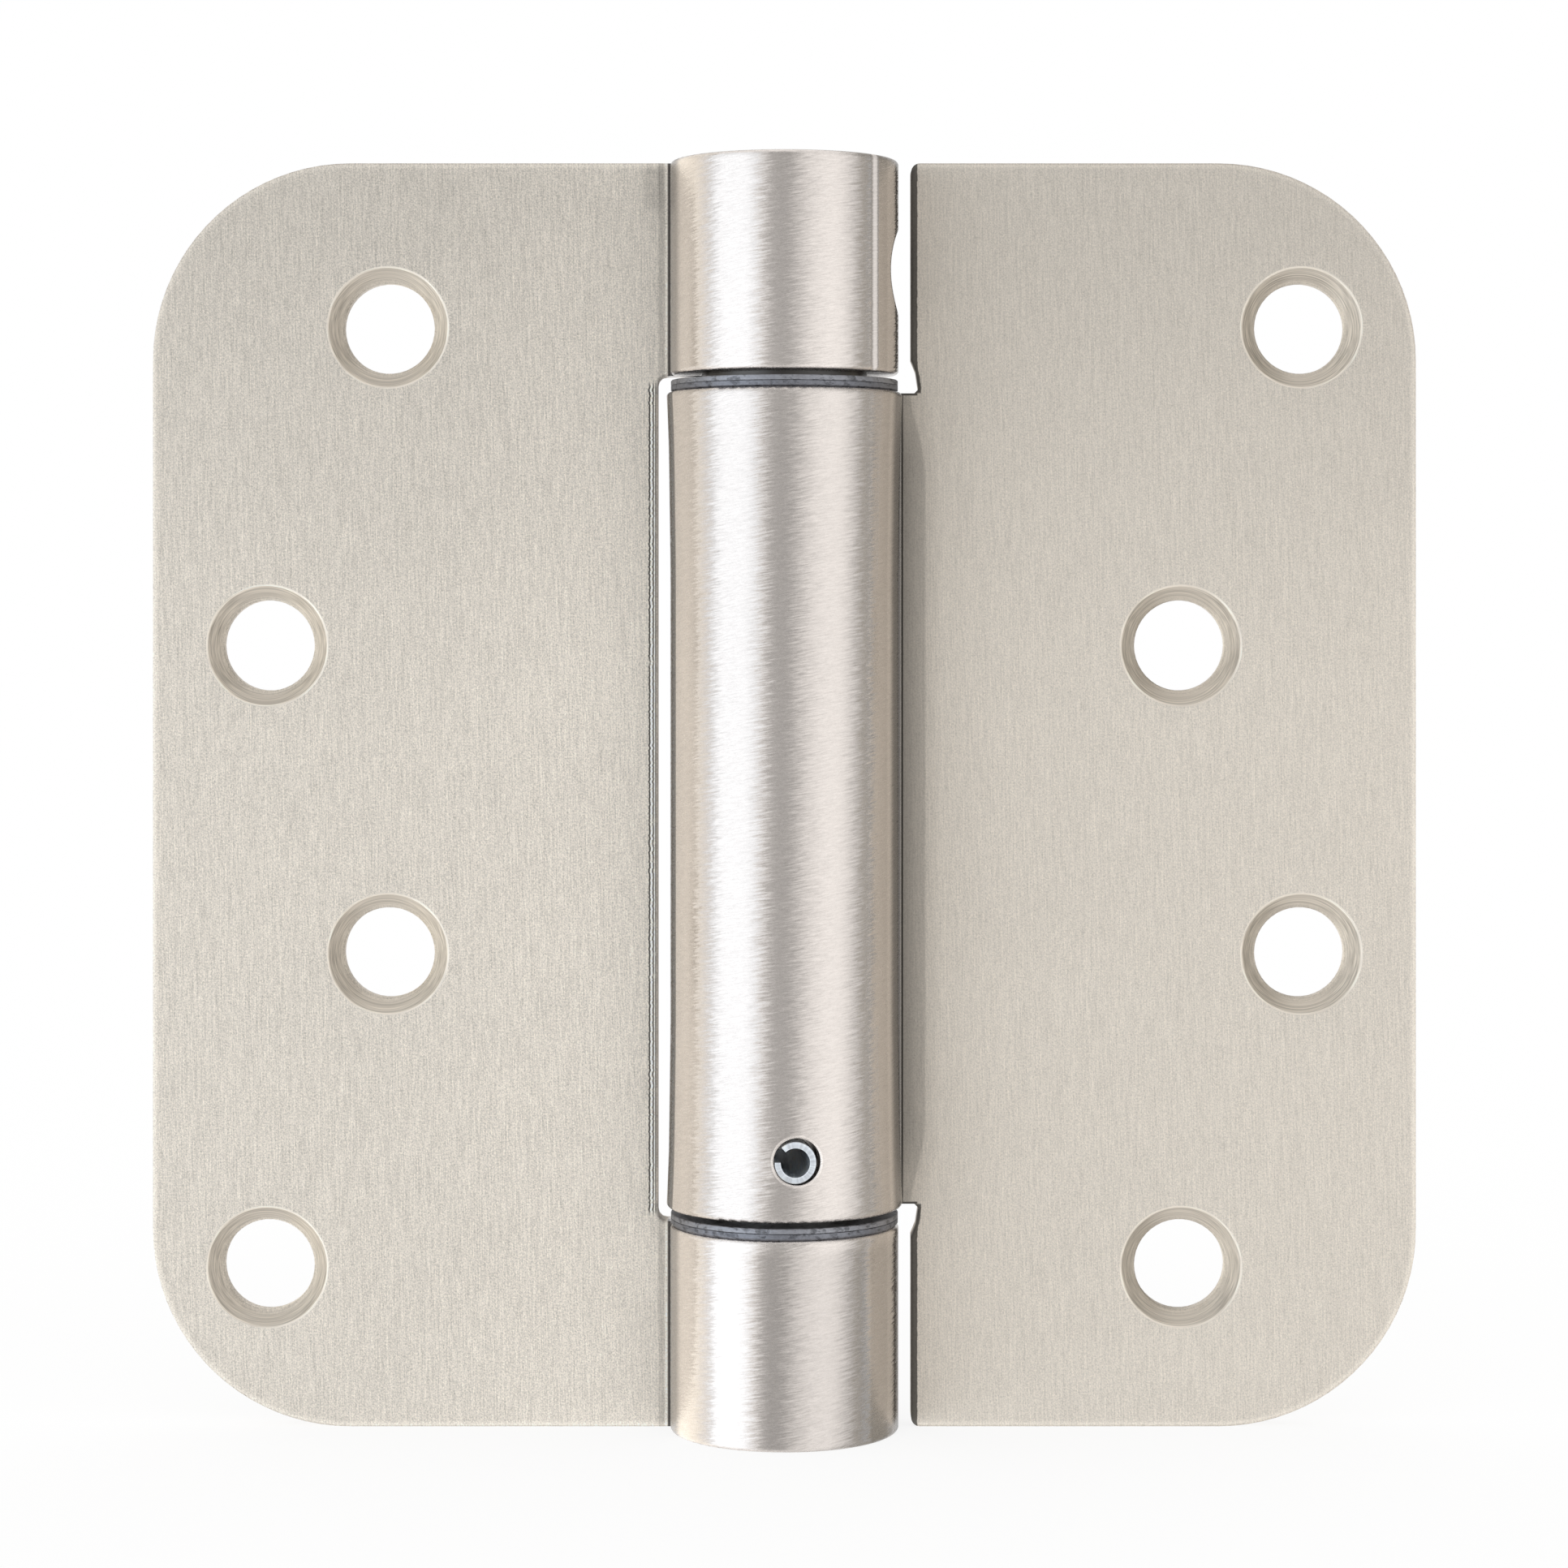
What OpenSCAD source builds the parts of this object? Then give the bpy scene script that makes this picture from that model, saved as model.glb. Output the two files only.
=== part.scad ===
// Spring loaded door hinge with rounded leaf corners. Sizes are in millimetres and +Z is up.
// The barrel's axis is the Z axis. The leaves lie flat open, and their countersunk side faces -Y.

/* [Pieces] */
// Piece to draw

/* [Hinge] */
// Height of the leaves and of the whole barrel
hinge_h = 101.6; // [80:0.1:160]
// Width over both leaves when they lie flat open
hinge_w = 101.6; // [80:0.1:160]
// Thickness of the rolled steel sheet
sheet_t = 2.5; // [1.8:0.05:3.5]
// Gap between the faces of the closed leaves
closed_gap = 1.6; // [0.6:0.1:3]
// Radius of the outer corners of the leaves
corner_r = 15.875; // [3:0.005:25]

/* [Screw holes] */
// Radius of a screw hole
screw_hole_r = 3.65; // [2:0.05:5]
// Radius of a countersink at the face of the leaf
sink_r = 4.85; // [3:0.05:7]
// Full angle of a countersink
sink_angle = 82; // [60:1:110]
// Distance of the outer holes from the leaf's outer edge
outer_hole_edge = 9.2; // [7:0.1:14]
// Distance of the inner holes from the leaf's outer edge
inner_hole_edge = 18.9; // [16:0.1:30]
// Distance of the first row of holes from the top edge
row_1_from_top = 13.2; // [8:0.1:24]
// Distance of the second row of holes from the top edge
row_2_from_top = 38.8; // [26:0.1:60]
// Distance of the third row of holes from the bottom edge
row_3_from_bottom = 38; // [26:0.1:60]
// Distance of the fourth row of holes from the bottom edge
row_4_from_bottom = 12.8; // [8:0.1:24]

/* [Barrel] */
// Outer diameter of the rolled barrel
barrel_d = 18.3; // [16:0.1:26]
// Height of the top knuckle
top_knuckle_h = 17.1; // [14:0.1:30]
// Height of the bottom knuckle
bottom_knuckle_h = 16.5; // [12:0.1:30]
// End play between the top knuckle and the washer below it
upper_play = 0.45; // [0.1:0.05:1.5]
// End play between the central barrel and the washer below it
lower_play = 0.45; // [0.1:0.05:1.5]
// Inside radius of the bend that leads from a leaf into its barrel
bend_r = 1.5; // [0.8:0.1:3]
// Angle by which the rolled end stops short of its own leaf, measured from the leaf's side of the barrel
seam_angle = 4; // [1:0.5:12]
// Rounding of the barrel's outer edges
end_round = 0.35; // [0.1:0.05:1.2]
// Widening of the central barrel's radius at its ends
flare = 0.3; // [0.05:0.05:0.6]
// Length of that widening at each end
flare_l = 15; // [4:0.5:25]

/* [Leaf cut-outs] */
// Clearance between a leaf's edge and the other leaf's knuckle
leaf_clear = 1.05; // [0.6:0.05:2.5]
// Largest rounding of the inner corners beside the central barrel
slot_corner_r = 0.7; // [0.1:0.1:2]
// Rounding of the door leaf's corners beside the end knuckles
notch_corner_r = 0.7; // [0.3:0.1:3]
// Depth of the relief at the foot of each notch
relief_d = 0.6; // [0.1:0.05:1]
// Height of the relief at the foot of each notch
relief_h = 2.7; // [0.5:0.1:4]
// Cut across the inner corner of the relief
relief_corner = 0.35; // [0.05:0.05:0.5]

/* [Tension window] */
// Radius of the tension window
window_r = 3.5; // [2.5:0.1:4.5]
// Distance of the window's centre from the top of the knuckle
window_from_top = 8.9; // [7:0.1:12]

/* [Bushes and washers] */
// Thickness of a bush flange
flange_t = 0.5; // [0.3:0.05:1.5]
// Thickness of a thrust washer
washer_t = 0.45; // [0.3:0.05:1.5]
// How far the flanges and washers stay inside the barrel's outside
flange_inset = 0.05; // [0.02:0.01:1]
// Chamfer on the lower edge of a bush flange
flange_chamfer = 0.15; // [0.05:0.05:0.3]
// Chamfer on both outer edges of a washer
washer_chamfer = 0.06; // [0.02:0.01:0.15]
// Wall of a bush sleeve
sleeve_t = 0.75; // [0.5:0.05:1.5]
// Length of a bush sleeve
sleeve_l = 5; // [3:0.1:8]
// Clearance of what is pressed into a bore
press_clear = 0.01; // [0.005:0.005:0.03]
// Radial clearance of what turns in a bore
running_clear = 0.05; // [0.02:0.01:0.1]

/* [Tension collar] */
// Depth of the collar's top below the rim of the knuckle
collar_recess = 0.4; // [0.1:0.1:2]
// Chamfer round the collar's top
collar_chamfer = 0.5; // [0.1:0.1:1.5]
// Radius of the radial holes
tool_hole_r = 1.65; // [1:0.05:1.7]
// Radius of the solid core that the radial holes leave
tool_core_r = 3.5; // [3.5:0.1:5.5]
// Number of radial holes round the collar
tool_holes = 6; // [3:1:6]
// Width across the flats of the wrench socket
wrench_flats = 4; // [3:0.5:6]
// Depth of the wrench socket
wrench_depth = 4.5; // [2:0.5:5]
// How far a journal reaches past its bush
journal_past = 0.5; // [0.2:0.1:2]
// Clearance between the noses and the inside of the coil
nose_clear = 1.1; // [0.5:0.1:2]
// Length of the noses
nose_l = 4.4; // [3.5:0.1:8]
// Chamfer on the noses and the journals
nose_chamfer = 0.4; // [0.1:0.1:0.8]

/* [Torsion spring] */
// Thickness of the spring wire
wire_d = 2; // [1.4:0.1:2.2]
// Clearance between the coil and the bore of the barrel
coil_clear = 0.45; // [0.2:0.05:0.7]
// Gap between neighbouring turns
coil_gap = 0.15; // [0.05:0.05:1]
// Radius at which the wire bends in towards the axis
tang_bend_r = 1.6; // [1.2:0.1:1.6]
// How far each end of the wire reaches past the axis
tang_past = 2.5; // [1:0.1:2.5]
// Clearance round the wire in the noses
tang_clear = 0.12; // [0.1:0.01:0.3]

/* [Spring anchor] */
// Length of the anchor inside the central barrel
anchor_l = 8.4; // [7:0.1:14]
// Height of the roll pin's hole above the lower end of the central barrel
pin_from_foot = 4.8; // [3:0.1:5.5]

/* [Roll pin] */
// Radius of the roll pin
pin_r = 1.65; // [1:0.05:2.2]
// Wall of the roll pin
pin_wall = 0.5; // [0.3:0.05:0.7]
// Angle of the opening along the roll pin
pin_slit_angle = 46; // [10:1:90]
// Direction of the opening, anticlockwise from the right as seen from the front
pin_slit_turn = 155; // [0:1:359]
// Chamfer at both ends of the roll pin
pin_chamfer = 0.05; // [0.05:0.05:0.4]
// Depth of the roll pin's end below the outside of the barrel
pin_inset = 0.1; // [0.05:0.05:1]
// Angle of the roll pin to the right of the front
pin_turn = 6.2; // [-20:0.1:20]
// Clearance round the roll pin in the wall of the central barrel
pin_hole_clear = 0.2; // [0.1:0.05:0.5]
// How far the roll pin sits low and to the left in that hole, as a share of the clearance
pin_drop_share = 0.6; // [0:0.05:0.65]

/* [Bottom plug] */
// Thickness of the bottom plug
plug_t = 3; // [1.5:0.1:6]
// Depth of the plug's face inside the rim of the bottom knuckle
plug_inset = 0.3; // [0.1:0.1:2]
// Chamfer round the plug's face
plug_chamfer = 0.5; // [0.1:0.1:1.2]

/* [Hidden] */
$fn = 96;

// Overrun of the cutting shapes
over = 1;

// The sheet and the barrel
half_h = hinge_h / 2;
half_w = hinge_w / 2;
barrel_r = barrel_d / 2;
bore_r = barrel_r - sheet_t;
face_y = closed_gap / 2;
back_y = face_y + sheet_t;

// Centre of the bend behind the leaf: the bend meets the barrel on the line of centres, and reaches
// a little into its wall, which laps over the bend by a small angle
bend_y = back_y + bend_r;
bend_x = sqrt(pow(barrel_r + bend_r, 2) - pow(bend_y, 2));
join_angle = atan2(bend_y, bend_x);
join_bite = sheet_t / 50;
join_lap = 2;

// Ends of the knuckles and of the central barrel
top_foot_z = half_h - top_knuckle_h;
barrel_top_z = top_foot_z - upper_play - washer_t - flange_t;
bottom_head_z = bottom_knuckle_h - half_h;
barrel_foot_z = bottom_head_z + flange_t + washer_t + lower_play;

// Edges of the leaves beside the barrel
notch_x = barrel_r + leaf_clear;
slot_x = max(notch_x, bend_x);
slot_r = min(slot_corner_r, slot_x - bend_x);

// Bushes, and what turns in them
flange_r = barrel_r - flange_inset;
sleeve_r = bore_r - press_clear;
sleeve_bore_r = sleeve_r - sleeve_t;
journal_r = sleeve_bore_r - running_clear;
washer_bore_r = journal_r + running_clear;

// Tension collar
collar_r = bore_r - running_clear;
collar_foot_z = barrel_top_z + flange_t + washer_t;
collar_top_z = half_h - collar_recess;
collar_journal_z = barrel_top_z - sleeve_l - journal_past;
window_z = half_h - window_from_top;

// Spring anchor and roll pin
anchor_top_z = barrel_foot_z + anchor_l;
anchor_journal_z = bottom_head_z - sleeve_l - journal_past;
pin_hole_z = barrel_foot_z + pin_from_foot;
pin_drop = pin_hole_clear * pin_drop_share;
pin_z = pin_hole_z - pin_drop;
pin_azimuth = pin_turn - asin(pin_drop / barrel_r);

// Spring between the shoulder of the anchor and the journal of the collar
wire_r = wire_d / 2;
coil_r = bore_r - coil_clear - wire_r;
nose_r = coil_r - wire_r - nose_clear;
wire_sides = 8;
turn_steps = 16;
bend_steps = 4;
spring_foot_z = anchor_top_z + wire_r;
spring_head_z = collar_journal_z - wire_r;
turns = (spring_head_z - spring_foot_z) / (wire_d + coil_gap);
bend_in_x = sqrt(pow(coil_r - tang_bend_r, 2) - pow(tang_bend_r, 2));
coil_start = atan2(tang_bend_r, bend_in_x);
coil_end = coil_start + 360 * turns;
upper_tang_turn = -(coil_start + coil_end);
tang_hole_r = wire_r / cos(180 / wire_sides) + tang_clear;

// Corner between a square edge and the circle that rounds it, with the corner at the origin
module corner_bit(r, out) {
    difference() {
        translate([-out, -out]) square(r + out);
        translate([r, r]) circle(r = r);
    }
}

// Half section of a rolled barrel of height h, with its outer edges rounded and its ends widened
module barrel_section(h, wide) {
    lip_share = 0.45;
    neck_share = 0.3;
    foot_l = min(flare_l, h / 3);
    neck_l = foot_l * neck_share;
    lip = wide * lip_share;
    difference() {
        polygon([
            [bore_r, 0], [barrel_r + wide, 0], [barrel_r + lip, neck_l], [barrel_r, foot_l],
            [barrel_r, h - foot_l], [barrel_r + lip, h - neck_l], [barrel_r + wide, h], [bore_r, h]
        ]);
        translate([barrel_r + wide, 0]) rotate(90) corner_bit(end_round, over);
        translate([barrel_r + wide, h]) rotate(180) corner_bit(end_round, over);
    }
}

// Point at a radius and an angle from the centre of the bend
function bend_point(r, a) = [r * cos(a) - bend_x, r * sin(a) + bend_y];

// Cross-section of the sheet from the leaf to its barrel: it ends a little inside the barrel's wall
module bend_section() {
    strip_x = bend_x + sheet_t;
    steps = 12;
    sweep = 90 - join_angle;
    face_r = bend_r + sheet_t;
    face = [for (i = [0 : steps - 1]) bend_point(face_r, sweep * i / steps - 90)];
    back = [for (i = [steps - 1 : -1 : 0]) bend_point(bend_r, sweep * i / steps - 90)];
    tip = [bend_point(face_r - join_bite, -join_angle), bend_point(bend_r + join_bite, -join_angle)];
    polygon(concat([[-strip_x, face_y]], face, tip, back, [[-strip_x, back_y]]));
}

// Wedge between the rolled end of the sheet and the bend that it comes back to
module seam_wedge() {
    far = 2 * bend_x;
    open_turn = 180 - seam_angle;
    shut_turn = 180 - join_angle + join_lap;
    polygon([
        [0, 0], [far * cos(open_turn), far * sin(open_turn)],
        [far * cos(shut_turn), far * sin(shut_turn)]
    ]);
}

// Sheet of a leaf on the -X side, bent up behind its own face and rolled round the back to the front
module rolled_barrel(foot_z, head_z, wide) {
    h = head_z - foot_z;
    translate([0, 0, foot_z]) {
        linear_extrude(h) bend_section();
        difference() {
            rotate_extrude() barrel_section(h, wide);
            translate([0, 0, -over]) linear_extrude(h + 2 * over) seam_wedge();
        }
    }
}

// Flat part of a leaf on the -X side, with its two outer corners rounded, as an outline in X and Z
module leaf_outline() {
    flat_w = half_w - bend_x;
    difference() {
        translate([-half_w, -half_h]) square([flat_w, hinge_h]);
        translate([-half_w, -half_h]) corner_bit(corner_r, over);
        translate([-half_w, half_h]) rotate(-90) corner_bit(corner_r, over);
    }
}

// Opening of the jamb leaf beside the central barrel
module slot_outline() {
    slot_h = top_foot_z - bottom_head_z;
    difference() {
        translate([-slot_x, bottom_head_z]) square([slot_x, slot_h]);
        if (slot_r > 0) {
            translate([-slot_x, bottom_head_z]) corner_bit(slot_r, 0, $fn = 12);
            translate([-slot_x, top_foot_z]) rotate(-90) corner_bit(slot_r, 0, $fn = 12);
        }
    }
}

// Notch of the door leaf beside the top knuckle, with the relief that widens towards its foot
module notch_outline(knuckle_h) {
    waist_share = 0.65;
    deep_x = notch_x + relief_d;
    waist_x = notch_x + relief_d * waist_share;
    translate([-notch_x, 0]) square([notch_x, knuckle_h + over]);
    polygon([
        [0, 0], [relief_corner - deep_x, 0], [-deep_x, relief_corner],
        [-waist_x, relief_h * waist_share], [-notch_x, relief_h], [0, relief_h]
    ]);
    translate([-notch_x, knuckle_h]) rotate(180) corner_bit(notch_corner_r, over);
}

// Outline stood up as sheet, with its face towards -Y
module stand_up() {
    translate([0, back_y, 0]) rotate([90, 0, 0]) linear_extrude(sheet_t) children();
}

// Countersunk hole in the face of a leaf
module screw_hole(x, z) {
    sink_slope = tan(sink_angle / 2);
    sink_h = (sink_r - screw_hole_r) / sink_slope;
    translate([x, face_y, z]) rotate([-90, 0, 0]) {
        translate([0, 0, -over]) cylinder(h = sheet_t + 2 * over, r = screw_hole_r);
        translate([0, 0, -over])
            cylinder(h = sink_h + over, r1 = sink_r + over * sink_slope, r2 = screw_hole_r);
    }
}

// Four holes of a leaf: the first and third rows at one distance from the edge, the others at another
module screw_holes(side, odd_edge, even_edge) {
    screw_hole(side * (half_w - odd_edge), half_h - row_1_from_top);
    screw_hole(side * (half_w - even_edge), half_h - row_2_from_top);
    screw_hole(side * (half_w - odd_edge), row_3_from_bottom - half_h);
    screw_hole(side * (half_w - even_edge), row_4_from_bottom - half_h);
}

// Jamb leaf: left leaf with the top and bottom knuckles
module jamb_leaf() {
    color([0.80, 0.77, 0.73]) difference() {
        union() {
            stand_up() difference() {
                leaf_outline();
                slot_outline();
            }
            rolled_barrel(top_foot_z, half_h, 0);
            rolled_barrel(-half_h, bottom_head_z, 0);
        }
        screw_holes(-1, inner_hole_edge, outer_hole_edge);
        translate([0, 0, window_z]) rotate([0, 90, 0]) cylinder(h = barrel_r + over, r = window_r);
    }
}

// Door leaf: right leaf with the central barrel
module door_leaf() {
    top_notch_h = half_h - barrel_top_z;
    foot_notch_h = half_h + barrel_foot_z;
    color([0.77, 0.74, 0.70]) difference() {
        mirror([1, 0, 0]) {
            stand_up() difference() {
                leaf_outline();
                translate([0, barrel_top_z]) notch_outline(top_notch_h);
                translate([0, barrel_foot_z]) mirror([0, 1]) notch_outline(foot_notch_h);
            }
            rolled_barrel(barrel_foot_z, barrel_top_z, flare);
        }
        screw_holes(1, outer_hole_edge, inner_hole_edge);
        translate([0, 0, pin_hole_z]) rotate([90, 0, pin_turn])
            translate([0, 0, bore_r / 2]) cylinder(h = barrel_r, r = pin_r + pin_hole_clear);
    }
}

// Bush whose flange sits on the end of a barrel and whose sleeve is pressed into it
module flanged_bush(seat_z) {
    translate([0, 0, seat_z]) rotate_extrude() polygon([
        [sleeve_bore_r, -sleeve_l], [sleeve_r, -sleeve_l], [sleeve_r, 0],
        [flange_r - flange_chamfer, 0], [flange_r, flange_chamfer], [flange_r, flange_t],
        [sleeve_bore_r, flange_t]
    ]);
}

// Thrust washer on top of a bush flange
module thrust_washer(seat_z) {
    translate([0, 0, seat_z]) rotate_extrude() polygon([
        [washer_bore_r, 0], [flange_r - washer_chamfer, 0], [flange_r, washer_chamfer],
        [flange_r, washer_t - washer_chamfer], [flange_r - washer_chamfer, washer_t],
        [washer_bore_r, washer_t]
    ]);
}

module upper_bush() {
    color([0.42, 0.43, 0.46]) flanged_bush(barrel_top_z);
}

module upper_washer() {
    color([0.50, 0.51, 0.54]) thrust_washer(barrel_top_z + flange_t);
}

module lower_bush() {
    color([0.42, 0.43, 0.46]) flanged_bush(bottom_head_z);
}

module lower_washer() {
    color([0.50, 0.51, 0.54]) thrust_washer(bottom_head_z + flange_t);
}

// Hole across a nose for the end of the spring
module tang_hole(z, turn) {
    translate([0, 0, z]) rotate([0, 90, turn])
        cylinder(h = 2 * (nose_r + tang_clear), r = tang_hole_r, center = true);
}

// Turned collar that winds the spring: it rests on the upper washer and runs in the upper bush
module tension_collar() {
    nose_foot_z = collar_journal_z - nose_l;
    color([0.62, 0.60, 0.58]) difference() {
        rotate_extrude() polygon([
            [0, nose_foot_z], [nose_r - nose_chamfer, nose_foot_z],
            [nose_r, nose_foot_z + nose_chamfer], [nose_r, collar_journal_z],
            [journal_r, collar_journal_z], [journal_r, collar_foot_z], [collar_r, collar_foot_z],
            [collar_r, collar_top_z - collar_chamfer], [collar_r - collar_chamfer, collar_top_z],
            [0, collar_top_z]
        ]);
        for (i = [0 : tool_holes - 1])
            rotate([0, 0, i * 360 / tool_holes])
                translate([tool_core_r, 0, window_z]) rotate([0, 90, 0])
                    cylinder(h = collar_r - tool_core_r + over, r = tool_hole_r);
        translate([0, 0, collar_top_z - wrench_depth])
            cylinder(h = wrench_depth + over, r = wrench_flats / 2 / cos(30), $fn = 6);
        tang_hole(spring_head_z, upper_tang_turn);
    }
}

// Turned plug pinned into the central barrel: it holds the spring and runs in the lower bush
module spring_anchor() {
    nose_head_z = anchor_top_z + nose_l;
    color([0.58, 0.57, 0.55]) difference() {
        rotate_extrude() polygon([
            [0, anchor_journal_z], [journal_r - nose_chamfer, anchor_journal_z],
            [journal_r, anchor_journal_z + nose_chamfer], [journal_r, barrel_foot_z],
            [collar_r, barrel_foot_z], [collar_r, anchor_top_z], [nose_r, anchor_top_z],
            [nose_r, nose_head_z - nose_chamfer], [nose_r - nose_chamfer, nose_head_z],
            [0, nose_head_z]
        ]);
        translate([0, 0, pin_z]) rotate([90, 0, pin_azimuth])
            cylinder(h = 2 * (collar_r + over), r = pin_r + press_clear, center = true);
        tang_hole(spring_foot_z, 0);
    }
}

// Slotted spring pin through the wall of the central barrel and the anchor
module roll_pin() {
    front = barrel_r - pin_inset;
    rear = -(collar_r - pin_inset);
    inner_r = pin_r - pin_wall;
    color([0.55, 0.53, 0.50]) translate([0, 0, pin_z]) rotate([90, 0, pin_azimuth])
        rotate([0, 0, pin_slit_turn + pin_slit_angle / 2])
            rotate_extrude(angle = 360 - pin_slit_angle) polygon([
                [inner_r, rear], [pin_r - pin_chamfer, rear], [pin_r, rear + pin_chamfer],
                [pin_r, front - pin_chamfer], [pin_r - pin_chamfer, front], [inner_r, front]
            ]);
}

// Plug pressed into the lower end of the bottom knuckle
module bottom_plug() {
    face_z = plug_inset - half_h;
    color([0.60, 0.58, 0.56]) rotate_extrude() polygon([
        [0, face_z], [sleeve_r - plug_chamfer, face_z], [sleeve_r, face_z + plug_chamfer],
        [sleeve_r, face_z + plug_t], [0, face_z + plug_t]
    ]);
}

// Path of the wire as [x, y, z, heading], first as if wound to the right: the lower end comes in
// across the axis and bends out on to the coil, and the upper end is its mirror image
lower_end = concat(
    [[-tang_past, 0, spring_foot_z, 0]],
    [for (i = [0 : bend_steps - 1]) let (a = (coil_start + 90) * i / bend_steps - 90)
        [bend_in_x + tang_bend_r * cos(a), tang_bend_r + tang_bend_r * sin(a), spring_foot_z, a + 90]]
);
coil_steps = ceil(turns * turn_steps);
coil_path = [for (i = [0 : coil_steps]) let (a = coil_start + 360 * turns * i / coil_steps)
    [coil_r * cos(a), coil_r * sin(a),
        spring_foot_z + (spring_head_z - spring_foot_z) * i / coil_steps, a + 90]];
fold = coil_start + coil_end;
upper_end = [for (i = [len(lower_end) - 1 : -1 : 0]) let (p = lower_end[i])
    [p[0] * cos(fold) + p[1] * sin(fold), p[0] * sin(fold) - p[1] * cos(fold),
        spring_head_z, fold - p[3] + 180]];
wire_path = concat(lower_end, coil_path, upper_end);

// Points of one ring of the wire, mirrored in Y so that the coil is left-handed
function wire_ring(p) = [for (k = [0 : wire_sides - 1])
    let (
        a = 360 * (k + 1 / 2) / wire_sides,
        s = wire_r / cos(180 / wire_sides) * cos(a),
        up = wire_r / cos(180 / wire_sides) * sin(a)
    )
    [p[0] + s * sin(p[3]), -(p[1] - s * cos(p[3])), p[2] + up]];

// Left-hand torsion spring between the two noses
module torsion_spring() {
    last = len(wire_path) - 1;
    points = [for (p = wire_path) each wire_ring(p)];
    sides = [for (i = [0 : last - 1], k = [0 : wire_sides - 1])
        let (
            a = i * wire_sides + k,
            b = i * wire_sides + (k + 1) % wire_sides
        )
        each [[a, b, b + wire_sides], [a, b + wire_sides, a + wire_sides]]];
    foot = [for (k = [wire_sides - 1 : -1 : 0]) k];
    head = [for (k = [0 : wire_sides - 1]) last * wire_sides + k];
    color([0.35, 0.34, 0.33]) polyhedron(points = points, faces = concat(sides, [foot, head]));
}

jamb_leaf();
door_leaf();
upper_bush();
upper_washer();
lower_bush();
lower_washer();
tension_collar();
torsion_spring();
spring_anchor();
roll_pin();
bottom_plug();
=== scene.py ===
import math

import bpy
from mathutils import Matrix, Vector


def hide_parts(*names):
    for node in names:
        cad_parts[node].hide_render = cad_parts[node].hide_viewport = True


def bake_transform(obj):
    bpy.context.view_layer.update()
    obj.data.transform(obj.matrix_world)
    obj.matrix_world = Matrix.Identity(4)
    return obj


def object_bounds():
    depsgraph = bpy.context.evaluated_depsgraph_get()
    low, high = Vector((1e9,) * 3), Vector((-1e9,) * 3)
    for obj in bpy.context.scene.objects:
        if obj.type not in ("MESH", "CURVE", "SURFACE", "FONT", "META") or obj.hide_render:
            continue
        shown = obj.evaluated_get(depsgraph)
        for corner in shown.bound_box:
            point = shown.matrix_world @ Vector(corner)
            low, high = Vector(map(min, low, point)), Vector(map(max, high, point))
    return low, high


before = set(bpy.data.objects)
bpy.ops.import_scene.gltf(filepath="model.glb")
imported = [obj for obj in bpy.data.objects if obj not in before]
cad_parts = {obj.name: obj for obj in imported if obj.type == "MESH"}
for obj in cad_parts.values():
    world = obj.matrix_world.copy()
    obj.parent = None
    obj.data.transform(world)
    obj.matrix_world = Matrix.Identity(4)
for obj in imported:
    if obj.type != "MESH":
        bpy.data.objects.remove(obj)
cad_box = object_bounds()

# The camera stands a forearm away from the hinge and a little above its middle. It looks straight
# at the countersunk face, and its frame is slid down, so that no upright line leans.
camera_distance = 0.310
camera_height = 0.015
leaf_face_y = 0.0008
lens_mm = 88.47
photo_side_px = 1932
slide_right_px = -0.5
slide_up_px = -216.4
camera_data = bpy.data.cameras.new("camera")
camera_data.sensor_width = 36.0
camera_data.lens = lens_mm
camera_data.shift_x = slide_right_px / photo_side_px
camera_data.shift_y = slide_up_px / photo_side_px
camera_data.clip_start = 0.01
camera_data.clip_end = 20.0
camera = bpy.data.objects.new("camera", camera_data)
camera.location = (0.0, leaf_face_y - camera_distance, camera_height)
camera.rotation_euler = (math.radians(90.0), 0.0, 0.0)
bpy.context.scene.collection.objects.link(camera)
bpy.context.scene.camera = camera

scene = bpy.context.scene
scene.view_settings.view_transform = "Standard"


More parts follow.
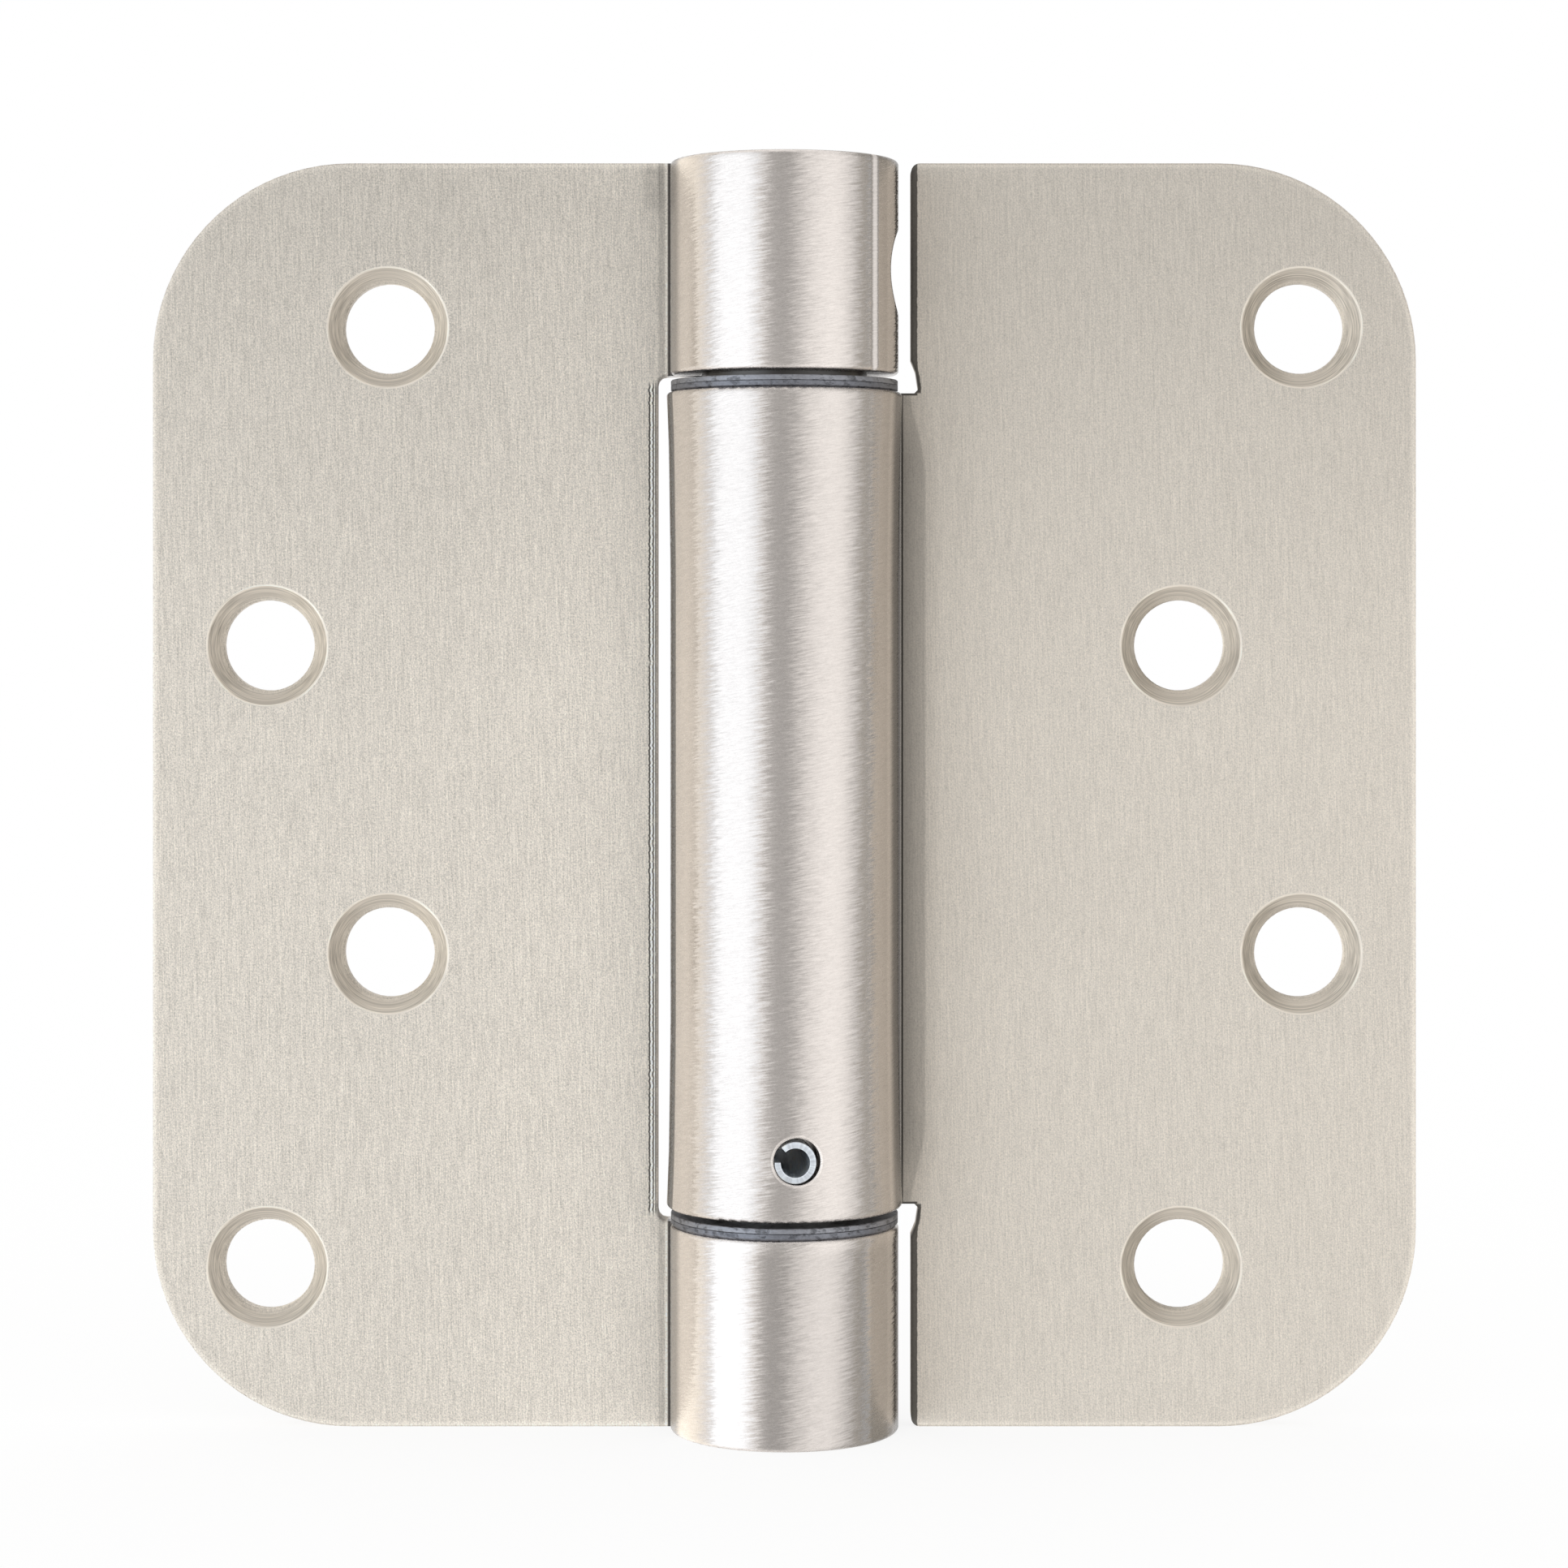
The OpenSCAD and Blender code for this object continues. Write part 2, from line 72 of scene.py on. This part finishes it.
# The hinge stands on end on a pale table in front of a white backdrop. The table is one wide
# sheet, and it keeps the soft shadow under the hinge.
class Wire:
    """An output of a shader node. Sums and products of wires add their own Math nodes."""

    def __init__(self, tree, socket=None):
        self.tree = tree
        self.socket = socket

    def node(self, kind, settings=None, inputs=None, out=0):
        """Adds a node, sets it up, and gives the output that is asked for, or a list of them."""
        made = self.tree.nodes.new("ShaderNode" + kind)
        for name, value in (settings or {}).items():
            if name == "stops":
                for place, _ in value[1:-1]:
                    made.color_ramp.elements.new(place)
                for stop, (_, colour) in zip(made.color_ramp.elements, value):
                    stop.color = (*colour, 1.0)
            else:
                setattr(made, name, value)
        for name, value in (inputs or {}).items():
            if isinstance(value, Wire):
                self.tree.links.new(value.socket, made.inputs[name])
            else:
                made.inputs[name].default_value = value
        if isinstance(out, (list, tuple)):
            return [Wire(self.tree, made.outputs[name]) for name in out]
        return Wire(self.tree, made.outputs[out] if made.outputs else None)

    def math(self, operation, *values):
        return self.node("Math", {"operation": operation}, dict(enumerate(values)))

    def __add__(self, other):
        return self.math("ADD", self, other)

    def __radd__(self, other):
        return self.math("ADD", other, self)

    def __sub__(self, other):
        return self.math("SUBTRACT", self, other)

    def __rsub__(self, other):
        return self.math("SUBTRACT", other, self)

    def __mul__(self, other):
        return self.math("MULTIPLY", self, other)

    def __rmul__(self, other):
        return self.math("MULTIPLY", other, self)

    def __truediv__(self, other):
        return self.math("DIVIDE", self, other)

    def __rtruediv__(self, other):
        return self.math("DIVIDE", other, self)

    def __abs__(self):
        return self.math("ABSOLUTE", self)

    def below(self, other):
        return self.math("MINIMUM", self, other)

    def above(self, other):
        return self.math("MAXIMUM", self, other)

    def step(self, start, end, low=0.0, high=1.0):
        """Goes smoothly from low to high as the wire goes from start to end."""
        return self.node(
            "MapRange",
            {"interpolation_type": "SMOOTHSTEP"},
            {"Value": self, "From Min": start, "From Max": end, "To Min": low, "To Max": high},
        )

    def noise(self, detail, roughness):
        """Even noise from 0 to 1 where the wire is a place in the pattern."""
        return self.node(
            "TexNoise", None, {"Vector": self, "Scale": 1.0, "Detail": detail, "Roughness": roughness})

    def shaded(self, shade):
        """The wire's colour or place, times a number or a number wire."""
        return self.node("VectorMath", {"operation": "SCALE"}, {0: self, "Scale": shade})


def new_finish(name):
    """An empty node material and a wire to build it with."""
    finish = bpy.data.materials.new(name)
    finish.use_nodes = True
    finish.node_tree.nodes.clear()
    return finish, Wire(finish.node_tree)


white = (1.0, 1.0, 1.0, 1.0)
table_half = 3.0
table_shadow_share = 0.16
table_mesh = bpy.data.meshes.new("table")
table_mesh.from_pydata(
    [(-table_half, -table_half, 0.0), (table_half, -table_half, 0.0),
     (table_half, table_half, 0.0), (-table_half, table_half, 0.0)],
    [],
    [(0, 1, 2, 3)],
)
table = bpy.data.objects.new("table", table_mesh)
table.location.z = cad_box[0][2]
scene.collection.objects.link(table)
table_finish, wire = new_finish("pale_table")
# 1 for rays from the camera, and for mirrored and passed ones
white_to_the_eye = wire.node("LightPath", out="Is Camera Ray").above(
    wire.node("LightPath", out="Is Glossy Ray").above(wire.node("LightPath", out="Is Transmission Ray")))
table_seen = wire.node("Emission", None, {"Color": white, "Strength": 1.0})
table_lit = wire.node("BsdfDiffuse", None, {"Color": white})
table_coat = wire.node(
    "MixShader", None, {0: white_to_the_eye * (1.0 - table_shadow_share), 1: table_lit, 2: table_seen})
wire.node("OutputMaterial", None, {"Surface": table_coat})
table_mesh.materials.append(table_finish)
table.visible_glossy = False

backdrop = bpy.data.worlds.new("backdrop")
scene.world = backdrop
backdrop.use_nodes = True
backdrop.node_tree.nodes.clear()
wire = Wire(backdrop.node_tree)
wire.node("OutputWorld", None, {"Surface": wire.node("Background", None, {"Color": white, "Strength": 1.0})})


# The hinge stands in a round tent of white cloth with soft light behind it. The tent's left wall is
# the brightest, the lens looks in through a darker gap, and a grey flag hangs at the right. The
# camera sees only its reflection in the metal.
tent_radius = 0.45
tent_half_height = 0.62
tent_sides = 96
tent_fade_height = 0.24
tent_top_share = 0.72
tent_brightest = 2.0
plain_light = (1.0, 1.0, 1.0)
cool_light = (0.935, 0.995, 1.06)
warm_light = (1.03, 0.99, 0.90)
# degrees round from the lens towards the door leaf, level of light, colour of light
tent_walls = [
    (-180, 0.95, plain_light), (-164, 0.90, plain_light), (-148, 1.05, plain_light),
    (-135, 1.30, warm_light), (-100, 1.26, warm_light), (-84, 1.00, plain_light),
    (-76, 1.22, cool_light), (-69, 1.66, cool_light), (-38, 1.66, cool_light),
    (-30, 1.42, cool_light), (-21, 1.04, plain_light), (-16, 0.68, plain_light),
    (-9, 0.58, plain_light), (-2, 0.56, plain_light), (5, 0.60, plain_light),
    (13, 0.80, plain_light), (23, 1.06, plain_light), (33, 1.22, plain_light),
    (46, 1.32, plain_light), (58, 1.30, plain_light), (69, 1.04, plain_light),
    (79, 0.70, plain_light), (87, 0.50, warm_light), (95, 0.46, plain_light),
    (97, 0.70, cool_light), (100, 0.70, cool_light), (102, 0.44, warm_light),
    (130, 0.42, warm_light), (146, 0.48, plain_light), (160, 0.80, plain_light),
    (180, 0.95, plain_light),
]
tent_turns = [2 * math.pi * k / tent_sides for k in range(tent_sides)]
tent_ring = [(tent_radius * math.sin(angle), -tent_radius * math.cos(angle)) for angle in tent_turns]
tent_mesh = bpy.data.meshes.new("light_tent")
tent_mesh.from_pydata(
    [(a, b, height) for height in (-tent_half_height, tent_half_height) for a, b in tent_ring],
    [],
    [(k, (k + 1) % tent_sides, tent_sides + (k + 1) % tent_sides, tent_sides + k) for k in range(tent_sides)],
)
tent = bpy.data.objects.new("light_tent", tent_mesh)
scene.collection.objects.link(tent)
tent_finish, wire = new_finish("light_tent")
tent_x, tent_y, tent_z = wire.node(
    "SeparateXYZ", None, {0: wire.node("TexCoord", out="Object")}, out=("X", "Y", "Z"))
tent_turn = wire.math("ARCTAN2", tent_x, tent_y * -1.0) / (2 * math.pi) + 0.5
tent_light = wire.node(
    "ValToRGB",
    {"stops": [
        (azimuth / 360.0 + 0.5, [level / tent_brightest * part for part in light])
        for azimuth, level, light in tent_walls]},
    {0: tent_turn},
)
tent_fade = tent_z.step(0.0, tent_fade_height, 1.0, tent_top_share)
tent_glow = wire.node("Emission", None, {"Color": tent_light.shaded(tent_fade), "Strength": tent_brightest})
wire.node("OutputMaterial", None, {"Surface": tent_glow})
tent_finish.cycles.emission_sampling = "NONE"
tent_mesh.materials.append(tent_finish)
tent.visible_camera = False
tent.visible_diffuse = False
tent.visible_shadow = False


# The jamb leaf is one steel sheet, cut, countersunk and rolled into the two outer knuckles. It is
# plated with nickel and brushed: along the flat leaf, and round the knuckles.
# The leaf's nickel is painted lighter than the barrel's, as painted light on the one plating.
lightened_leaf_nickel = (0.745, 0.684, 0.602)
barrel_nickel = (0.668, 0.620, 0.584)
# millimetres, as all places on a finish are
half_height = 50.8
knuckle_r = 9.15
sink_r = 4.85
face_y = 0.8
sheet_t = 2.5
leaf_centre_y = face_y + sheet_t / 2
corner_r = 15.875
corner_centre = half_height - corner_r
barrel_middle_z = -0.3
bottom_roll_start_z = -34.0
bottom_roll_end_z = -36.0
back_fade_start_y = 1.0
back_fade_end_y = 4.0
edge_highlight_width = 0.55
edge_highlight_share = 0.26
sink_level = 0.87
# rise of the brushed strokes for each step round the barrel
brush_climb = 0.17


def mm_place(wire):
    """The place on the piece in millimetres, as three wires."""
    place = wire.node("TexCoord", out="Object").shaded(1000.0)
    return wire.node("SeparateXYZ", None, {0: place}, out=("X", "Y", "Z"))


def at(wire, x, y, z):
    """A place in a pattern."""
    return wire.node("CombineXYZ", None, {0: x, 1: y, 2: z})


def length(wire, a, b):
    """The distance that two steps at a right angle make."""
    return wire.math("SQRT", a * a + b * b)


def line(wire, centre, half, soft):
    """1 on a line through the centre value, and 0 away from it."""
    return abs(wire - centre).step(half, half + soft, 1.0, 0.0)


def nearest(gaps):
    """The least of several distances."""
    least = gaps[0]
    for gap in gaps[1:]:
        least = least.below(gap)
    return least


def plain(wire, colour):
    """A colour to be shaded."""
    made = wire.node("RGB")
    made.socket.default_value = (*colour, 1.0)
    return made


def relief_of(wire, height, strength, depth, normal=None):
    """A surface normal with fine relief on it. The depth is in metres."""
    sockets = {"Strength": strength, "Distance": depth, "Height": height}
    if normal is not None:
        sockets["Normal"] = normal
    return wire.node("Bump", None, sockets)


def rounded_edge(wire, radius):
    """The normal of a surface whose sharp edges are rounded. The radius is in metres."""
    return wire.node("Bevel", {"samples": 4}, {"Radius": radius})


def metal(wire, colour, roughness, normal, grain_way=None):
    """Bare or plated metal. grain_way is how strongly it is brushed, and which way."""
    sockets = {"Base Color": colour, "Metallic": 1.0, "Roughness": roughness, "Normal": normal}
    if grain_way:
        sockets["Anisotropic"], sockets["Anisotropic Rotation"] = grain_way
    return wire.node("BsdfPrincipled", None, sockets)


def brushed_nickel(
        name, screw_places, barrel_ends, side_shade_turns, side_shade_shares, marks, grain_strength, edge_radius, seed):
    """Brushed nickel for one leaf, with turned marks in the countersinks."""
    finish, wire = new_finish(name)
    x, y, z = mm_place(wire)
    turn = wire.math("ARCTAN2", x, y * -1.0)
    arc = turn * knuckle_r
    front = y.step(leaf_centre_y - 0.5, leaf_centre_y + 0.5, 1.0, 0.0)
    edge = rounded_edge(wire, edge_radius)
    marked = marks(wire, x, y, z, turn, front)

    # flat leaf, brushed along its length: hair lines, shorter strokes between them, and fine sand
    hair = at(wire, x * 8.0, y * 4.0 + seed, z * 0.30 + x * 4.7).noise(0.0, 0.5)
    stroke = at(wire, x * 11.0 + seed, y * 4.0, z * 0.9 + x * 6.9).noise(0.0, 0.5)
    sand = at(wire, x * 9.0 + z * 1.7, y * 4.0, z * 8.0 + seed).noise(1.0, 0.6)
    cloud = at(wire, x * 0.05 + seed, y * 0.05, z * 0.07).noise(2.0, 0.5)
    # the leaf is a shade darker towards its top
    top_darkening = z.step(5.0, 52.0, 1.0, 0.90)
    lines = hair * 0.26 + stroke * 0.30 + sand * 0.90 - 0.23
    # distance in from the leaf's outline, where the tumbled, rounded edge gets a painted highlight
    past_x, past_z = (abs(x) - corner_centre).above(0.0), (abs(z) - corner_centre).above(0.0)
    margin = length(wire, past_x, past_z) * -1.0 + corner_r
    edge_highlight = (margin + (stroke - 0.5) * 0.3).step(0.0, edge_highlight_width, edge_highlight_share, 0.0) * front
    leaf_shade = ((lines - 0.5) * grain_strength + (cloud - 0.5) * 0.05 + 1.0 + edge_highlight) * top_darkening * marked
    leaf_plate = plain(wire, lightened_leaf_nickel)
    leaf_coat = metal(
        wire, leaf_plate.shaded(leaf_shade), (lines - 0.5) * 0.25 + 0.50,
        relief_of(wire, lines, 0.2, 0.00002, edge), grain_way=(0.8, 0.0))

    # countersinks: fine turned rings, with a painted highlight round the outer edge
    reach = nearest([length(wire, x - hole_x, z - hole_z) for hole_x, hole_z in screw_places])
    sunk = reach.step(sink_r - 0.03, sink_r + 0.03, 1.0, 0.0) * front
    rings = at(wire, reach * 12.0 + x * 0.4, z * 0.5, seed).noise(2.0, 0.65)
    sink_rim_highlight = line(reach, sink_r + 0.01, 0.05, 0.07)
    sink_coat = metal(
        wire, leaf_plate.shaded((rings - 0.5) * 1.3 + sink_level + sink_rim_highlight * 0.40), rings * 0.2 + 0.36,
        relief_of(wire, rings, 0.5, 0.00004, edge))
    leaf_and_sinks = wire.node(
        "MixShader", None, {0: sunk.above(sink_rim_highlight * front * 0.8), 1: leaf_coat, 2: sink_coat})

    # barrel, brushed round: short strokes that climb a little, each turned a bit to one side
    along = arc + z * brush_climb
    across = z - arc * brush_climb
    radius = length(wire, x, y)
    grain = at(wire, arc * 5.0, z * 8.0, radius * 5.0 + seed).noise(1.0, 0.6)
    scratch = at(wire, along * 1.2, across * 9.0, radius * 2.0 + seed).noise(1.0, 0.6)
    sweep = at(wire, along * 0.6, across * 6.5, seed + 9.0).noise(2.0, 0.6)
    # a painted highlight along the ends of the knuckles, broken up by the grain
    end_glint = nearest([abs(z - end_z) for end_z in barrel_ends]).step(0.08, 0.40, 1.0, 0.0)
    barrel_shade = (grain - 0.5) * 0.25 + (scratch - 0.5) * 0.26 + 1.0 + end_glint * (grain - 0.2) * 0.35
    # painted light and shade on the rolled face, which fade out towards the back: painted shade on its
    # sides, a painted highlight on its left, and a band of painted shade at the right
    outside = (radius.step(knuckle_r - 0.35, knuckle_r - 0.15, 0.0, 1.0)
               * y.step(back_fade_start_y, back_fade_end_y, 1.0, 0.0))
    left_start, left_end, right_start, right_end = (math.radians(angle) for angle in side_shade_turns)
    left_share, right_share = side_shade_shares
    side_shade = turn.step(left_start, left_end, left_share, 0.0).above(
        turn.step(right_start, right_end, 0.0, right_share)) * outside
    left_highlight = turn.step(math.radians(-46.0), math.radians(-60.0), 0.0, 0.20)
    right_shade_band = line(turn, math.radians(55.5), math.radians(6.0), math.radians(3.0)) * 0.14
    barrel_shade = barrel_shade * (1.0 - side_shade) * ((left_highlight - right_shade_band) * outside + 1.0) * marked
    # the roll isn't quite round: it swells at the bottom end and has a flat near the top
    bulge = (z.step(bottom_roll_start_z, bottom_roll_end_z, 0.0, 0.075)
             * turn.step(math.radians(-45.0), math.radians(-25.0), 0.0, 1.0))
    flat = (line(turn, math.radians(51.6), math.radians(0.5), math.radians(3.2))
            * z.step(33.0, 34.0, 0.0, 0.44))
    round_way = wire.node(
        "VectorTransform", {"vector_type": "VECTOR", "convert_from": "OBJECT", "convert_to": "WORLD"},
        {0: at(wire, y * -1.0, x, 0.0)})
    lean = round_way.shaded(
        ((sweep - 0.5) * 0.28 + (scratch - 0.5) * 0.10 + (bulge - flat) * outside) / knuckle_r)
    leaning = wire.node(
        "VectorMath", {"operation": "NORMALIZE"},
        {0: wire.node("VectorMath", {"operation": "ADD"}, {0: edge, 1: lean})})
    barrel_coat = metal(
        wire, plain(wire, barrel_nickel).shaded(barrel_shade), (grain - 0.5) * 0.15 + 0.25,
        relief_of(wire, scratch + grain * 0.3, 0.4, 0.00002, leaning), grain_way=(0.75, 0.25))
    on_barrel = abs(x).step(knuckle_r + 0.1, knuckle_r + 0.35, 1.0, 0.0)
    wire.node(
        "OutputMaterial", None,
        {"Surface": wire.node("MixShader", None, {0: on_barrel, 1: leaf_and_sinks, 2: barrel_coat})})
    return finish


def jamb_marks(wire, x, y, z, turn, front):
    """Painted shade in the seams beside the knuckles and where the sheet curves, with a painted highlight on
    their edge; painted light and shade along the ragged slot edge; scratches near the top; a painted
    highlight on the leaf's inner part and painted shade at the bottom knuckle.
    """
    slot = abs(z - barrel_middle_z).step(33.0, 33.7, 1.0, 0.0)
    beside = front * (1.0 - slot)
    ragged = at(wire, x * 0.5, 2.0, z * 1.2).noise(3.0, 0.7)
    # painted shade at the knuckles' joint line and in the curve of the sheet beside it, with a painted
    # highlight between them
    seam_shade = line(x, -9.27, 0.06, 0.08) * beside * 0.80
    lip_highlight = line(x, -9.50, 0.04, 0.08) * beside * 0.30
    hollow_shade = line(x, -9.90, 0.12, 0.25) * beside * (0.12 + ragged * 0.20)
    wander = x + (at(wire, 1.0, 4.0, z * 2.2).noise(2.0, 0.7) - 0.5) * 0.35
    # painted light and shade lines that stand in for the ragged, burred slot edge
    burr_light_and_shade = (line(wander, -10.85, 0.045, 0.04) * 0.95 + line(wander, -10.55, 0.04, 0.04) * 0.90
            + line(x, -10.36, 0.03, 0.04) * 0.75 - line(wander, -10.70, 0.05, 0.05) * 0.55
            - line(x, -10.45, 0.03, 0.03) * 0.50)
    slot_edge_light_and_shade = burr_light_and_shade * slot * front * ragged.step(0.25, 0.45, 0.45, 1.0)
    scuffed = (at(wire, x, 8.0, z * 9.0).noise(2.0, 0.6)
               * line(x, -10.5, 0.5, 0.5) * line(z, 48.8, 1.2, 1.2))
    # a painted highlight that lightens the leaf's inner part and the outer knuckles
    inner_highlight = x.step(-32.0, -12.0, 0.0, 0.08) * front
    foot_shade = (z.step(bottom_roll_start_z, bottom_roll_end_z, 0.0, 0.20)
                  * turn.step(math.radians(-20.0), math.radians(-4.0), 0.0, 1.0)
                  * y.step(back_fade_start_y, back_fade_end_y, 1.0, 0.0))
    return (1.0 - seam_shade - hollow_shade - slot_edge_light_and_shade) + lip_highlight - scuffed * front * 0.35 + inner_highlight - foot_shade


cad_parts["jamb_leaf"].material_slots[0].material = brushed_nickel(
    "satin_nickel_jamb",
    screw_places=[(-31.9, 37.6), (-41.6, 12.0), (-31.9, -12.8), (-41.6, -38.0)],
    barrel_ends=(half_height, 33.7, -34.3, -half_height),
    side_shade_turns=(-72.0, -63.0, 74.0, 77.0), side_shade_shares=(0.45, 0.45), marks=jamb_marks,
    grain_strength=1.20, edge_radius=0.0003, seed=3.0)


# The door leaf is the second sheet, with the long central barrel that holds the spring. Its plating
# comes from the same bath, so it has the same brushed finish.
roll_pin_z = -28.1
roll_pin_turn = math.radians(6.2)
pin_hole_r = 1.95


def door_marks(wire, x, y, z, turn, front):
    """Painted shade in the fold and curve of the sheet beside the barrel and on the shorn edges of the
    notches, and a painted highlight round the pin hole.
    """
    from_middle = abs(z - barrel_middle_z)
    notch = from_middle.step(32.5, 32.7, 0.0, 1.0)
    bent_x = x + from_middle.step(26.0, 33.5, 0.0, 1.3)
    # painted shade across the curve of the sheet beside the barrel and in its fold
    bend_shade = (bent_x.step(9.45, 11.15, 0.17, 0.0) + bent_x.step(11.2, 11.45, 0.20, 0.0)
            + bent_x.step(11.3, 12.8, 0.12, 0.0) + x.step(12.8, 18.0, 0.03, 0.0))
    crease_shade = line(x, 9.40, 0.08, 0.12) * 0.45
    right = x.step(knuckle_r + 0.2, knuckle_r + 0.3, 0.0, 1.0) * front
    ragged = at(wire, x * 1.5, 5.0, z * 1.6).noise(3.0, 0.7)
    relief = from_middle.step(32.9, 35.3, 0.30, 0.0)
    # painted shade on the shorn edges of the notches
    notch_edge_shade = (x - ragged * 0.20 - relief).step(10.56, 10.62, 1.0, 0.0) * notch
    notch_edge_shade = notch_edge_shade.above(line(from_middle, 32.52, 0.07, 0.06) * x.step(10.65, 10.75, 1.0, 0.0))
    bend_and_crease_shade = bend_shade * from_middle.step(31.5, 36.0, 1.0, 0.2) + crease_shade * (1.0 - notch)
    pin_reach = length(wire, (turn - roll_pin_turn) * knuckle_r, z - roll_pin_z)
    # a painted highlight round the pin hole
    pin_rim_highlight = line(pin_reach, pin_hole_r, 0.06, 0.08) * front * 0.35
    return (1.0 - bend_and_crease_shade.above(notch_edge_shade * 0.80) * right) + pin_rim_highlight


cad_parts["door_leaf"].material_slots[0].material = brushed_nickel(
    "satin_nickel_door",
    screw_places=[(41.6, 37.6), (31.9, 12.0), (41.6, -12.8), (31.9, -38.0)],
    barrel_ends=(32.3, -32.9),
    side_shade_turns=(-71.5, -70.0, 65.0, 72.0), side_shade_shares=(0.72, 0.55), marks=door_marks,
    grain_strength=0.82, edge_radius=0.0004, seed=11.0)


# The flanged bushes and the thrust washers between the knuckles are dark sintered steel, pitted
# from the press and left bare. The washers lie loose on the flanges.
def sintered_steel(name, colour, seed):
    finish, wire = new_finish(name)
    x, y, z = mm_place(wire)
    grain = at(wire, x * 3.0 + seed, y * 3.0, z * 5.0).noise(4.0, 0.7)
    pits = at(wire, x * 1.4 + seed, y * 1.4, z * 2.2).noise(3.0, 0.6).step(0.36, 0.5, 0.0, 1.0)
    coat = metal(
        wire, plain(wire, colour).shaded((grain - 0.5) * 1.1 + 0.55 + pits * 0.45), grain * 0.3 + 0.3,
        relief_of(wire, grain + pits, 0.5, 0.00006, rounded_edge(wire, 0.00008)))
    wire.node("OutputMaterial", None, {"Surface": coat})
    return finish


bush_finish = sintered_steel("dark_bush", (0.22, 0.225, 0.25), 2.0)
washer_finish = sintered_steel("dark_washer", (0.30, 0.305, 0.33), 7.0)
for piece in ("upper_bush", "lower_bush"):
    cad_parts[piece].material_slots[0].material = bush_finish
for piece in ("upper_washer", "lower_washer"):
    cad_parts[piece].material_slots[0].material = washer_finish


# The tension collar, the spring anchor and the bottom plug are turned from steel bar and plated
# with zinc. The lathe leaves fine rings on them, and the collar is painted dark where it meets the
# upper washer, as painted shade in the narrow gap.
gap_shade_z = 33.4
turned_finish, wire = new_finish("turned_steel")
x, y, z = mm_place(wire)
lathe_marks = at(wire, length(wire, x, y) * 5.0 + z * 5.0, 5.0, z * 0.2).noise(3.0, 0.6)
stain = at(wire, x * 0.3, y * 0.3 + 5.0, z * 0.3).noise(2.0, 0.5)
gap_shade = line(z, gap_shade_z, 0.5, 0.4) * 0.72
turned_shade = ((lathe_marks - 0.5) * 0.5 + (stain - 0.5) * 0.3 + 1.0) * (1.0 - gap_shade)
turned_coat = metal(
    wire, plain(wire, (0.52, 0.51, 0.49)).shaded(turned_shade), lathe_marks * 0.2 + 0.25,
    relief_of(wire, lathe_marks, 0.3, 0.00004, rounded_edge(wire, 0.0001)), grain_way=(0.5, 0.25))
wire.node("OutputMaterial", None, {"Surface": turned_coat})
for piece in ("tension_collar", "spring_anchor", "bottom_plug"):
    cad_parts[piece].material_slots[0].material = turned_finish


# The torsion spring is coiled from hard drawn wire, oiled and left dark, with die lines along the
# wire. Its lower end is held by the anchor and its upper end by the collar, so it twists as the
# collar turns.
spring_finish, wire = new_finish("spring_wire")
x, y, z = mm_place(wire)
turn_arc = wire.math("ARCTAN2", y, x) * 0.4
drawn = at(wire, z * 4.0 + turn_arc, 1.0, turn_arc).noise(3.0, 0.6)
oil = at(wire, x * 0.4, y * 0.4, z * 0.4).noise(3.0, 0.5)
spring_shade = (drawn - 0.5) * 0.6 + (oil - 0.5) * 0.8 + 1.0
spring_coat = metal(
    wire, plain(wire, (0.19, 0.18, 0.17)).shaded(spring_shade), oil * 0.3 + 0.2,
    relief_of(wire, drawn, 0.3, 0.00004))
wire.node("OutputMaterial", None, {"Surface": spring_coat})
wound_spring = bpy.data.objects.new("wound_spring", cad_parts["torsion_spring"].data.copy())
wound_spring.data.materials.clear()
wound_spring.data.materials.append(spring_finish)
scene.collection.objects.link(wound_spring)
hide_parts("torsion_spring")
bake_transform(wound_spring)


# The roll pin is a strip of spring steel rolled into a slotted tube. It is squeezed into its hole,
# and its end stands just below the barrel's face.
pin_centre_x = 0.85
pin_centre_z = -28.25
pin_finish, wire = new_finish("pin_steel")
x, y, z = mm_place(wire)
pin_x, pin_z = x - pin_centre_x, z - pin_centre_z
pin_turn = wire.math("ARCTAN2", pin_z, pin_x)
streaks = at(
    wire, wire.math("COSINE", pin_turn) * 6.0, wire.math("SINE", pin_turn) * 6.0, y * 0.3).noise(3.0, 0.65)
wall_place = length(wire, pin_x, pin_z)
# the chamfered edges of the pin's wall get a painted highlight
pin_lip_highlight = wall_place.step(1.40, 1.62, 0.0, 1.0).above(wall_place.step(1.17, 1.25, 1.0, 0.0))
pin_coat = metal(
    wire, plain(wire, (0.80, 0.85, 0.90)).shaded((streaks - 0.5) * 1.1 + 0.92 + pin_lip_highlight * 0.18),
    streaks * 0.3 + 0.30,
    relief_of(wire, streaks, 0.4, 0.00005, rounded_edge(wire, 0.00008)))
wire.node("OutputMaterial", None, {"Surface": pin_coat})
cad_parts["roll_pin"].material_slots[0].material = pin_finish
